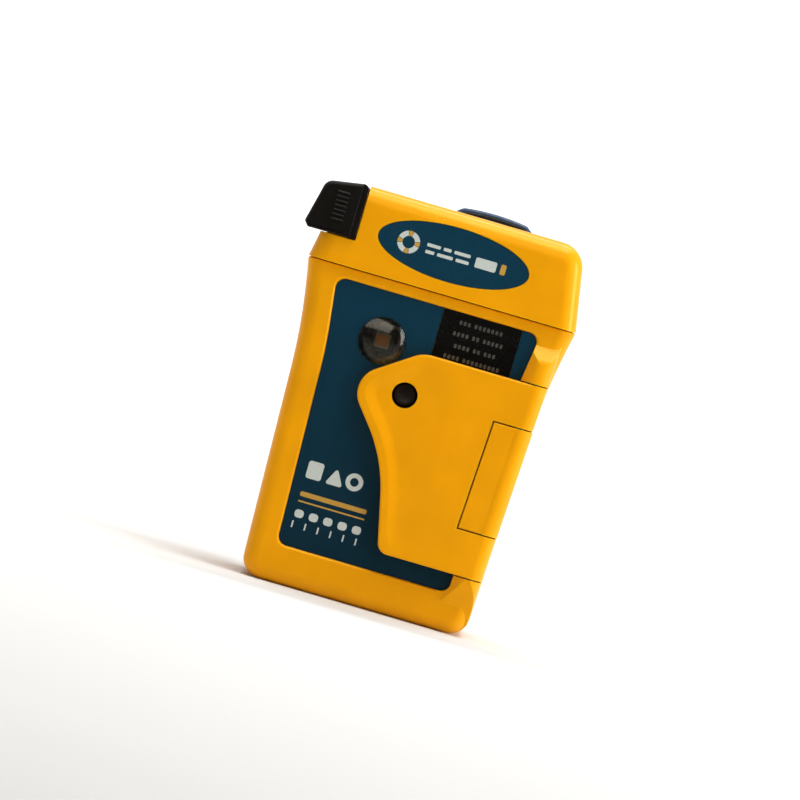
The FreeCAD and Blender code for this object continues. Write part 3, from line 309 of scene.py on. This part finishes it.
finishes = {
    "shell_yellow": moulded("moulded_yellow", YELLOW, 0.32, edge_wear_and_highlight=WEAR_AND_HIGHLIGHT_YELLOW, dust=0.03, gloss=0.42,
                            glint=GOLDEN),
    # Both sheets darken towards the bottom: painted shade.
    "label_blue": sheet("label_blue", NAVY, NAVY_PAINTED_SHADE, 0.42, 8.0, 58.0, gloss=0.12),
    "window_black": sheet("window_black", (0.006, 0.006, 0.005), (0.004, 0.004, 0.004), 0.22, 44.0, 58.0,
                          speck=0.2),
    "lens_clear": clear("clear_polycarbonate", (0.60, 0.58, 0.50)),
    # Dark olive reflector: its darkness is painted shade for the lamp cavity behind the lens.
    "reflector_silver": metal("reflector_silver", (0.130, 0.115, 0.075), 0.24),
    "led_yellow": moulded("led_phosphor", (0.44, 0.145, 0.014), 0.45),
    # The fifth argument, where given, is a paler edge colour: partly wear and partly a painted highlight.
    "tab_black": moulded("tab_black", (0.0060, 0.0046, 0.0036), 0.40, 0.002, (0.014, 0.011, 0.009),
                         gloss=0.2),
    "winder_slate": moulded("winder_slate", (0.007, 0.048, 0.135), 0.36, 0.002, (0.20, 0.27, 0.36),
                            gloss=0.3),
    "tape_black": moulded("tape_black", (0.010, 0.010, 0.010), 0.5, 0.002),
    "key_red": moulded("key_red", (0.50, 0.015, 0.010), 0.55, 0.002, (0.6, 0.08, 0.06)),
    "key_black": moulded("key_black", (0.012, 0.007, 0.006), 0.50, 0.002, gloss=0.3),
    "seal_black": moulded("seal_black", (0.008, 0.008, 0.008), 0.65, 0.003, gloss=0.3),
    "steel": metal("pin_steel", (0.16, 0.15, 0.14), 0.35, (1.0, 1.0, 0.1)),
    "screw_steel": metal("screw_steel", (0.50, 0.50, 0.50), 0.30),
    "spring_steel": metal("spring_steel", (0.42, 0.42, 0.43), 0.28),
    "inner_plastic": moulded("inner_plastic", (0.020, 0.020, 0.022), 0.55),
    "bearing_plastic": moulded("bearing_plastic", (0.70, 0.68, 0.62), 0.45),
    "board_green": board("board_green"),
    "chip_black": moulded("chip_black", (0.012, 0.012, 0.013), 0.5, 0.002),
    "shield_tin": metal("shield_tin", (0.62, 0.62, 0.60), 0.32, (0.3, 1.0, 1.0)),
    "gps_ceramic": moulded("gps_ceramic", (0.55, 0.50, 0.42), 0.6, 0.004),
    "cell_jacket": moulded("cell_jacket", (0.08, 0.14, 0.30), 0.35),
    "nickel": metal("nickel", (0.60, 0.56, 0.48), 0.30, (0.2, 1.0, 1.0)),
    "foam_grey": moulded("foam_grey", (0.12, 0.12, 0.12), 0.9, 0.05),
    "socket_white": moulded("socket_white", (0.70, 0.69, 0.64), 0.5),
    "wire_red": moulded("wire_red", (0.45, 0.01, 0.01), 0.45),
    "wire_black": moulded("wire_black", (0.010, 0.010, 0.010), 0.45),
}

for part in frame["record"]["subparts"]:
    nodes[part["node"]].material_slots[0].material = finishes[part["material_slot"]]


# ---- mesh helpers -------------------------------------------------------------------------------


def corner_arc(before, at, after, radius, steps=6):
    """Points round one corner of an outline."""
    a, b = (before - at).normalized(), (after - at).normalized()
    half = a.angle(b) / 2
    reach = radius / math.tan(half)
    centre = at + (a + b).normalized() * (radius / math.sin(half))
    start, end = at + a * reach - centre, at + b * reach - centre
    turn = start.angle(end)
    return [centre + (start * math.sin((1 - t) * turn) + end * math.sin(t * turn)) / math.sin(turn)
            for t in (i / steps for i in range(steps + 1))]


def round_outline(points, radius):
    """An outline of (x, z) points in millimetres with its corners rounded."""
    spots = [Vector(p) for p in points]
    made = []
    for i, at in enumerate(spots):
        made += corner_arc(spots[i - 1], at, spots[(i + 1) % len(spots)], radius)
    return made


def bar(x0, x1, z0, z1, radius=0.15):
    return round_outline([(x0, z0), (x1, z0), (x1, z1), (x0, z1)], radius)


def ring_band(x, z, inner, outer, start, end, steps=12):
    """A piece of a flat ring, between two angles in degrees."""
    angles = [math.radians(start + (end - start) * i / steps) for i in range(steps + 1)]
    out = [Vector((x + outer * math.cos(a), z + outer * math.sin(a))) for a in angles]
    back = [Vector((x + inner * math.cos(a), z + inner * math.sin(a))) for a in reversed(angles)]
    return out + back


def to_object(name, mesh_maker, material, body, smooth=False):
    """A mesh made by mesh_maker(bm), shown with a material and riding on a body."""
    bm = bmesh.new()
    mesh_maker(bm)
    bmesh.ops.recalc_face_normals(bm, faces=bm.faces)
    mesh = bpy.data.meshes.new(name)
    bm.to_mesh(mesh)
    bm.free()
    mesh.materials.append(material)
    if smooth:
        mesh.shade_smooth()
        mesh.set_sharp_from_angle(angle=math.radians(35))
    made = bpy.data.objects.new(name, mesh)
    bpy.context.scene.collection.objects.link(made)
    if body:
        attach(made, body)
    return made


def add_plate(bm, outline, y_front, y_back):
    """A closed plate from an (x, z) outline in millimetres."""
    front = [bm.verts.new((p[0] * MM, y_front * MM, p[1] * MM)) for p in outline]
    back = [bm.verts.new((p[0] * MM, y_back * MM, p[1] * MM)) for p in outline]
    bm.faces.new(front)
    bm.faces.new(list(reversed(back)))
    for i in range(len(outline)):
        j = (i + 1) % len(outline)
        bm.faces.new((front[j], front[i], back[i], back[j]))


def printed(name, outlines, y_surface, material, body, facing=-1):
    """Ink on a surface that faces front (-1) or back (1): thin plates, slightly proud."""
    top, under = y_surface + facing * 0.02, y_surface - facing * 0.01

    def build(bm):
        for outline in outlines:
            add_plate(bm, outline, top, under)

    return to_object(name, build, material, body)


# ---- printing: plain shapes only, no letters ----------------------------------------------------

white_ink = ink("ink_white", PALE_INK)
gold_ink = ink("ink_gold", GOLD_INK)
grey_ink = ink("ink_grey", (0.060, 0.060, 0.052))

label_low, _ = [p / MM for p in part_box("front_label")]
window_low, window_high = [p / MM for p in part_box("gps_window")]
oval_low, oval_high = [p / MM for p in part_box("oval_label")]


def dashes(x, z, tall, widths, gap, radius=0.2):
    """A row of printed dashes from the left."""
    made = []
    for wide in widths:
        made.append(bar(x, x + wide, z, z + tall, min(radius, tall * 0.45, wide * 0.45)))
        x += wide + gap
    return made


def oval_marks():
    """A ring buoy, two rows of bars, a block and a gold bar."""
    x, z = -8.6, (oval_low.z + oval_high.z) / 2
    white = [ring_band(x, z, 1.15, 2.1, 45 + 90 * i - 30, 45 + 90 * i + 30) for i in range(4)]
    gold = [ring_band(x, z, 1.15, 2.1, 90 * i - 12, 90 * i + 12, 6) for i in range(4)]
    white += dashes(-5.2, z + 0.25, 0.62, (2.6, 1.5, 3.1), 0.55)
    white += dashes(-5.2, z - 1.05, 0.62, (1.7, 3.0, 2.5), 0.55)
    white.append(bar(4.2, 8.2, z - 1.05, z + 0.87, 0.3))
    gold.append(bar(9.0, 10.0, z - 1.05, z + 0.87, 0.3))
    return white, gold


def label_marks():
    """Left of the flap: a square, a triangle, a ring, two gold rules, a row of blocks and one of ticks."""
    left = -14.8
    white = []
    low, tall = 20.4, 3.3
    white.append(bar(left, left + 2.9, low, low + tall, 0.5))
    white.append(round_outline([(left + 3.7, low), (left + 7.1, low), (left + 5.4, low + tall)], 0.35))
    white += [ring_band(left + 9.0, low + tall / 2, 0.8, tall / 2, a, a + 90) for a in (0, 90, 180, 270)]
    white += dashes(left, 12.9, 1.5, (1.7,) * 5, 1.05, 0.6)
    thin = dashes(left, 10.9, 1.3, (0.28,) * 6, 2.15, 0.1)
    gold = [bar(left, left + 12.7, 16.9, 17.8, 0.3), bar(left, left + 12.7, 15.8, 16.1, 0.12)]
    return white, thin, gold


def window_marks():
    """Four rows of fine grey dashes, in groups."""
    rows = ((55.8, (3, 7)), (53.6, (4, 2, 5)), (51.4, (4, 2, 3)), (49.2, (4, 9)))
    wide, gap, space = 0.52, 0.28, 0.75
    made = []
    for z, groups in rows:
        long = sum(n * wide + (n - 1) * gap for n in groups) + space * (len(groups) - 1)
        x = (window_low.x + window_high.x) / 2 - long / 2
        for n in groups:
            made += dashes(x, z - 0.4, 0.8, (wide,) * n, gap, 0.2)
            x += n * (wide + gap) - gap + space
    return made


white_shapes, gold_shapes = oval_marks()
printed("oval_print_white", white_shapes, oval_low.y, white_ink, "housing")
printed("oval_print_gold", gold_shapes, oval_low.y, gold_ink, "housing")
white_shapes, thin_shapes, gold_shapes = label_marks()
printed("label_print_white", white_shapes + thin_shapes, label_low.y, white_ink, "housing")
printed("label_print_gold", gold_shapes, label_low.y, gold_ink, "housing")
printed("window_print", window_marks(), window_low.y, grey_ink, "housing")

_, rear_high = [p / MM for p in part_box("rear_label")]


def rear_marks():
    """A framed arrow for the antenna and rows of dashes."""
    left, right, top = -12.2, 12.2, rear_high.z - 2.2
    frame_marks = [
        bar(left, right, top - 0.3, top, 0.12),
        bar(left, right, top - 9.3, top - 9.0, 0.12),
        bar(left, left + 0.3, top - 9.0, top - 0.3, 0.12),
        bar(right - 0.3, right, top - 9.0, top - 0.3, 0.12),
    ]
    arrow = [bar(-0.4, 0.4, top - 7.6, top - 3.6, 0.2)]
    arrow.append(round_outline([(-1.7, top - 3.9), (1.7, top - 3.9), (0.0, top - 1.6)], 0.25))
    rows = []
    row_widths = ((5.2, 3.1, 6.4, 4.0), (3.4, 6.0, 2.6, 5.5), (6.2, 4.4, 5.0), (4.0, 2.8, 6.6, 3.0))
    for i, widths in enumerate(row_widths):
        rows += dashes(left, top - 12.4 - i * 2.6, 0.8, widths, 1.0, 0.3)
    return frame_marks + arrow + rows


printed("rear_print", rear_marks(), rear_high.y, white_ink, "housing", facing=1)

# ---- antenna tape and winding -------------------------------------------------------------------

TAPE_THICK = 0.3
TAPE_BEND = 9.3
HUB_RADIUS = 3.4


def tape_path():
    """The middle line of the flat run, from the tab down and round to the coil, in (x, z) millimetres."""
    low, high = [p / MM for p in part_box("antenna_tape")]
    x, foot = low.x + TAPE_THICK / 2, low.z + TAPE_THICK / 2
    step = 0.5
    straight = [(x, high.z - i * step) for i in range(int((high.z - foot - TAPE_BEND) / step) + 1)]
    middle = x + TAPE_BEND
    angles = [math.radians(a) for a in range(0, 91, 5)]
    turn = [(middle - TAPE_BEND * math.cos(a), foot + TAPE_BEND - TAPE_BEND * math.sin(a)) for a in angles]
    level = [(middle + i, foot) for i in range(1, int(high.x - middle) + 1)]
    return straight + turn + level


def ribbon(bm, path, y_low, y_high, thick):
    """A thin strip along an (x, z) path, a little dished across its width."""
    columns = 5
    rows = []
    for i, (x, z) in enumerate(path):
        before, after = Vector(path[max(i - 1, 0)]), Vector(path[min(i + 1, len(path) - 1)])
        along = (after - before).normalized()
        out = Vector((-along.y, along.x))
        ringed = []
        for side in (0.5, -0.5):
            for j in (range(columns) if side > 0 else reversed(range(columns))):
                across = j / (columns - 1)
                dish = 0.04 * (1 - (2 * across - 1) ** 2)
                spot = Vector((x, z)) + out * (thick * side + dish - 0.02)
                y = y_low + (y_high - y_low) * across
                ringed.append(bm.verts.new((spot.x * MM, y * MM, spot.y * MM)))
        rows.append(ringed)
    count = columns * 2
    for a, b in zip(rows, rows[1:]):
        for i in range(count):
            j = (i + 1) % count
            bm.faces.new((a[i], a[j], b[j], b[i]))
    bm.faces.new(rows[0])
    bm.faces.new(list(reversed(rows[-1])))


def tape_run():
    """The flat run of tape, which on the beacon draws out as the tab is pulled; here it is one fixed shape
    that rides on no body.
    """
    low, high = [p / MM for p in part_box("antenna_tape")]
    made = to_object(
        "antenna_tape_run", lambda bm: ribbon(bm, tape_path(), low.y, high.y, 0.24),
        finishes["tape_black"], None, smooth=True,
    )
    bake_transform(made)
    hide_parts("antenna_tape")


def coil_winding():
    """The rest of the tape, wound on the spool turn over turn."""
    low, high = [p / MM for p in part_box("antenna_coil")]
    middle_x, middle_z = (low.x + high.x) / 2, (low.z + high.z) / 2
    outer, inner, steps = (high.x - low.x) / 2 - 0.15, HUB_RADIUS + 0.15, 48
    turns = (outer - inner) / TAPE_THICK
    path = []
    for i in range(int(turns * steps) + 1):
        angle = 2 * math.pi * i / steps - math.pi / 2
        r = outer - (outer - inner) * i / (turns * steps)
        path.append((middle_x + r * math.cos(angle), middle_z + r * math.sin(angle)))
    made = to_object(
        "antenna_winding", lambda bm: ribbon(bm, path, low.y, high.y, 0.22),
        finishes["tape_black"], "spool", smooth=True,
    )
    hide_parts("antenna_coil")


tape_run()
coil_winding()

# ---- strobe light -------------------------------------------------------------------------------


def add_block(bm, x0, x1, y0, y1, z0, z1, rounding):
    """A block with softened edges."""
    made = bmesh.ops.create_cube(bm, size=1.0)["verts"]
    for v in made:
        x = x0 + (v.co.x + 0.5) * (x1 - x0)
        y = y0 + (v.co.y + 0.5) * (y1 - y0)
        z = z0 + (v.co.z + 0.5) * (z1 - z0)
        v.co = Vector((x, y, z)) * MM
    edges = list({e for v in made for e in v.link_edges})
    bmesh.ops.bevel(bm, geom=edges, offset=rounding * MM, segments=2, affect="EDGES", profile=0.5)


def add_turned(bm, x, z, profile, sides=48):
    """A closed solid of revolution about Y from (radius, y) points, the first and last on the axis."""
    rings = []
    for r, y in profile:
        if r == 0:
            rings.append([bm.verts.new((x * MM, y * MM, z * MM))])
        else:
            angles = [2 * math.pi * i / sides for i in range(sides)]
            spots = [((x + r * math.cos(a)) * MM, y * MM, (z + r * math.sin(a)) * MM) for a in angles]
            rings.append([bm.verts.new(spot) for spot in spots])
    for a, b in zip(rings, rings[1:]):
        for i in range(sides):
            j = (i + 1) % sides
            if len(a) == 1:
                bm.faces.new((a[0], b[i], b[j]))
            elif len(b) == 1:
                bm.faces.new((a[i], a[j], b[0]))
            else:
                bm.faces.new((a[i], a[j], b[j], b[i]))


def strobe_light():
    """The light: a round stepped base, a pale square package, its phosphor and two bond strips."""
    low, high = [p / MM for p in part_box("strobe_led")]
    x, z = (low.x + high.x) / 2, (low.z + high.z) / 2
    front, back = low.y, high.y
    profile = [(0, back), (1.78, back), (1.78, front + 0.95), (1.70, front + 0.87), (0, front + 0.87)]
    to_object(
        "strobe_base", lambda bm: add_turned(bm, x, z, profile),
        finishes["chip_black"], "housing", smooth=True,
    )
    package = to_object(
        "strobe_package",
        lambda bm: add_block(bm, x - 1.25, x + 1.25, front + 0.18, front + 0.9, z - 1.25, z + 1.25, 0.1),
        moulded("package_cream", (0.40, 0.32, 0.20), 0.5), "housing",
    )

    def die(bm):
        add_block(bm, x - 0.92, x + 0.92, front + 0.02, front + 0.2, z - 0.92, z + 0.92, 0.06)
        for side in (-1, 1):
            middle = x + side * 1.08
            add_block(bm, middle - 0.06, middle + 0.06, front + 0.12, front + 0.2, z - 0.5, z + 0.5, 0.02)

    to_object("strobe_phosphor", die, finishes["led_yellow"], "housing")
    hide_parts("strobe_led")


strobe_light()

# ---- stage, light and camera --------------------------------------------------------------------


def backdrop():
    """A pale floor that curves up all round into a wall, far beyond every camera."""
    flat, bend, wall, sides = 1.8, 3.0, 6.5, 96
    profile = [(flat, 0.0)]
    for a in range(6, 91, 6):
        profile.append((flat + bend * math.sin(math.radians(a)), bend - bend * math.cos(math.radians(a))))
    profile.append((flat + bend, wall))

    def build(bm):
        rings = []
        angles = [2 * math.pi * i / sides for i in range(sides)]
        for r, z in profile:
            rings.append([bm.verts.new((r * math.cos(a), r * math.sin(a), z)) for a in angles])
        bm.faces.new(rings[0])
        for low, high in zip(rings, rings[1:]):
            for i in range(sides):
                j = (i + 1) % sides
                bm.faces.new((low[i], low[j], high[j], high[i]))

    p = Paint("pale_floor")
    p.colour(p.mix(p.spread(p.noise(0.004, 2.0), 0.3, 0.7), (0.70, 0.70, 0.695), (0.72, 0.72, 0.715)))
    p.fixed(Roughness=0.8, IOR=1.3)
    mesh = bpy.data.meshes.new("floor")
    bm = bmesh.new()
    build(bm)
    bmesh.ops.recalc_face_normals(bm, faces=bm.faces)
    bm.to_mesh(mesh)
    bm.free()
    mesh.shade_smooth()
    mesh.materials.append(p.material)
    made = bpy.data.objects.new("floor", mesh)
    bpy.context.scene.collection.objects.link(made)


def flag(place, pitch, size):
    """A dark card that only reflections see."""
    bm = bmesh.new()
    bmesh.ops.create_grid(bm, x_segments=8, y_segments=8, size=size / 2)
    mesh = bpy.data.meshes.new("flag")
    bm.to_mesh(mesh)
    bm.free()
    p = Paint("flag_cloth")
    p.colour(p.mix(p.spread(p.noise(0.01), 0.3, 0.7), (0.010, 0.010, 0.010), (0.014, 0.014, 0.014)))
    p.fixed(Roughness=0.9, Specular_IOR_Level=0.0)
    mesh.materials.append(p.material)
    made = bpy.data.objects.new("flag", mesh)
    made.location = place
    made.rotation_euler = (math.radians(pitch), 0, 0)
    made.visible_camera = made.visible_diffuse = made.visible_shadow = made.visible_transmission = False
    bpy.context.scene.collection.objects.link(made)


def lamp(name, place, target, size, watts, colour=(1.0, 1.0, 1.0), diffuse=True):
    """A soft rectangular light aimed at a point. Without diffuse, only reflections see it."""
    data = bpy.data.lights.new(name, "AREA")
    data.shape = "RECTANGLE"
    data.size, data.size_y = size
    data.energy = watts
    data.color = colour
    made = bpy.data.objects.new(name, data)
    made.location = place
    made.rotation_mode = "QUATERNION"
    made.rotation_quaternion = (Vector(target) - Vector(place)).to_track_quat("-Z", "Y")
    made.visible_camera = False
    made.visible_diffuse = diffuse
    bpy.context.scene.collection.objects.link(made)


def world(strength):
    made = bpy.data.worlds.new("studio")
    made.use_nodes = True
    made.node_tree.nodes["Background"].inputs["Color"].default_value = (1.0, 1.0, 1.0, 1.0)
    made.node_tree.nodes["Background"].inputs["Strength"].default_value = strength
    bpy.context.scene.world = made


def camera(middle):
    """A long lens square to the front, rolled so that the beacon's top leans to the right."""
    roll, rise = math.radians(16.3), math.radians(1.3)
    wide, lens, sensor = 0.147, 300.0, 36.0
    back = wide * lens / sensor
    data = bpy.data.cameras.new("camera")
    data.lens, data.sensor_width = lens, sensor
    data.clip_start, data.clip_end = 0.05, 20.0
    made = bpy.data.objects.new("camera", data)
    level, upright = Vector((1, 0, 0)), Vector((0, math.sin(rise), math.cos(rise)))
    right = level * math.cos(roll) + upright * math.sin(roll)
    up = upright * math.cos(roll) - level * math.sin(roll)
    behind = right.cross(up)
    turn = Matrix((right, up, behind)).transposed()
    made.matrix_world = Matrix.Translation(middle + behind * back) @ turn.to_4x4()
    bpy.context.scene.collection.objects.link(made)
    bpy.context.scene.camera = made


WARM_WHITE = (1.0, 0.98, 0.94)

low, high = cad_box
centre = (low + high) / 2
backdrop()
world(0.06)
flag(centre + Vector((0, -1.3, 0)), 90, 5.0)
flag(Vector((centre.x, low.y - 0.66, 0.001)), 0, 1.3)
lamp("key", (0.88, -0.74, 0.50), centre, (0.17, 0.85), 2.8, WARM_WHITE)
lamp("side", (1.20, -0.17, 0.34), centre, (0.30, 0.55), 9.0, WARM_WHITE)
lamp("top", (0.15, -0.25, 1.15), centre, (0.60, 0.60), 10.4, (1.0, 0.99, 0.96))
lamp("fill", (-1.1, -0.35, 0.42), centre, (0.6, 0.6), 1.0, (1.0, 0.66, 0.42))
lamp("gloss", (-0.36, -0.92, 0.80), centre, (1.5, 0.60), 6.5, (1.0, 0.96, 0.80), diffuse=False)
lamp("wall", (0.0, 1.0, 2.4), Vector((0, 4.2, 0.0)), (2.4, 1.6), 160.0)
camera(Vector((centre.x - 0.0008, low.y, centre.z + 0.0006)))
bpy.context.scene.view_settings.view_transform = "Standard"
